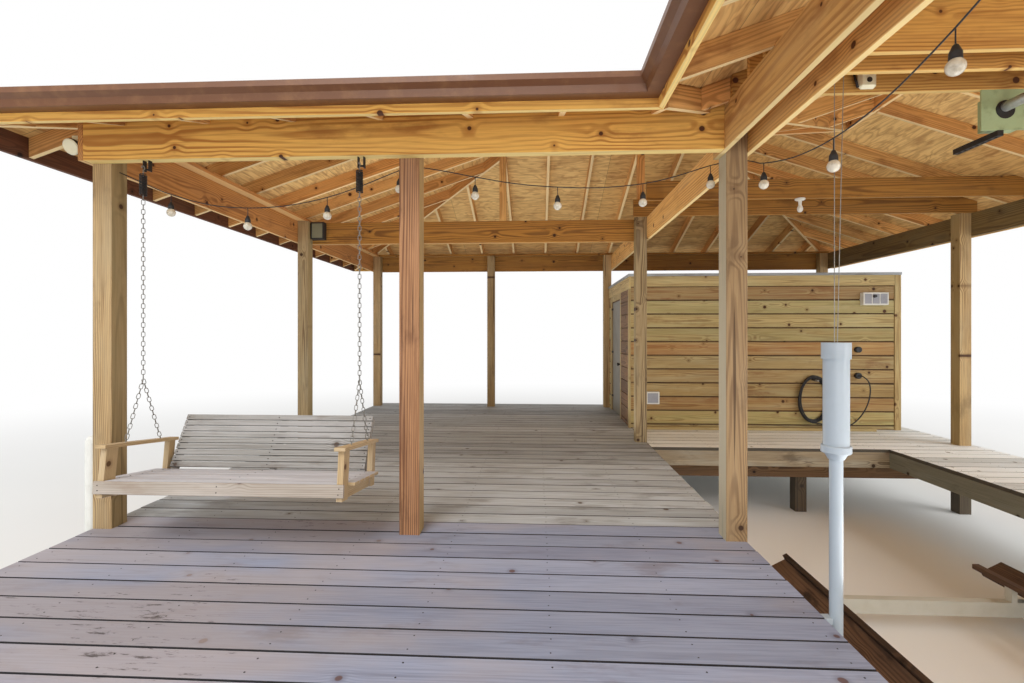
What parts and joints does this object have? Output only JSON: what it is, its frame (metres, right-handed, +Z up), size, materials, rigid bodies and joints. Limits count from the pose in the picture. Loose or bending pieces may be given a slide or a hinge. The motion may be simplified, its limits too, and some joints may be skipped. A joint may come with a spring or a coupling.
{
  "type": "boathouse",
  "caption": "Open-sided timber boathouse on piles with an L-shaped hip roof, a boat slip with a lift, a storage shed with a hinged door and a hanging porch swing.",
  "frame": {"origin": "middle of the roof's plan, at the level of the piles' lower ends", "axes": "+X along the deck wing's front beam towards the slip, +Y from open water to the shore, +Z up"},
  "size_m": [9.816, 13.6, 4.9402],
  "materials": {
    "treated_posts": "rough",
    "front_boards": "rough",
    "grey_boards": "rough",
    "pine": "satin",
    "rafter_pine": "satin",
    "shingles": "rough",
    "siding": "rough",
    "swing_boards": "rough",
    "brown_metal": "satin",
    "steel": "satin",
    "galvanised": "satin",
    "gear_enamel": "satin",
    "pvc": "gloss",
    "black_rubber": "rough",
    "bulb_glass": "gloss",
    "grey_plastic": "satin"
  },
  "bodies": {
    "house": {"deck_posts": "treated_posts", "slip_left_posts": "treated_posts", "slip_right_posts": "treated_posts", "short_piles": "treated_posts", "front_deck": "front_boards", "rear_deck": "grey_boards", "walkway": "grey_boards", "finger_pier": "grey_boards", "deck_joists": "treated_posts", "pier_joists": "treated_posts", "deck_girders": "treated_posts", "front_beam": "pine", "mid_beam": "pine", "back_beam": "pine", "left_beam": "pine", "slip_beams": "pine", "slip_ties": "pine", "king_posts": "pine", "wing_rafters": "rafter_pine", "slip_rafters": "rafter_pine", "hip_rafters": "rafter_pine", "ridge_boards": "rafter_pine", "roof_left": "shingles", "roof_front": "shingles", "roof_back": "shingles", "roof_right": "shingles", "slip_roof_left": "shingles", "slip_roof_right": "shingles", "slip_roof_water": "shingles", "fascia": "pine", "gutter": "brown_metal", "shed_front_wall": "siding", "shed_back_wall": "siding", "shed_right_wall": "siding", "door_wall_near": "siding", "door_wall_far": "siding", "door_wall_over": "siding", "shed_top": "pine", "shed_trim": "siding", "door_casing": "siding", "swing_hangers": "steel", "lift_cradle": "galvanised", "lift_bunks": "treated_posts", "lift_ropes": "steel", "lift_drive": "galvanised", "lift_gearbox": "gear_enamel", "guide_pipe": "pvc", "light_cord": "black_rubber", "string_bulbs": "bulb_glass", "ceiling_lamp": "pvc", "flood_light": "pvc", "wall_boxes": "grey_plastic", "hose_coil": "black_rubber", "dock_bumper": "pvc"},
    "door": {"shed_door": "siding", "door_hardware": "steel"},
    "swing": {"swing_chains": "steel", "swing_seat": "swing_boards", "swing_back": "swing_boards"}
  },
  "joints": [
    {"name": "door_hinge", "type": "hinge", "parent": "house", "child": "door", "pos_m": [0.33, 5.714, 1.85], "axis": [0, 0, -1], "range_deg": [0, 100]},
    {"name": "swing_hinge", "type": "hinge", "parent": "house", "child": "swing", "pos_m": [-3, -0.148, 3.38], "axis": [1, 0, 0], "range_deg": [-20, 20]}
  ]
}
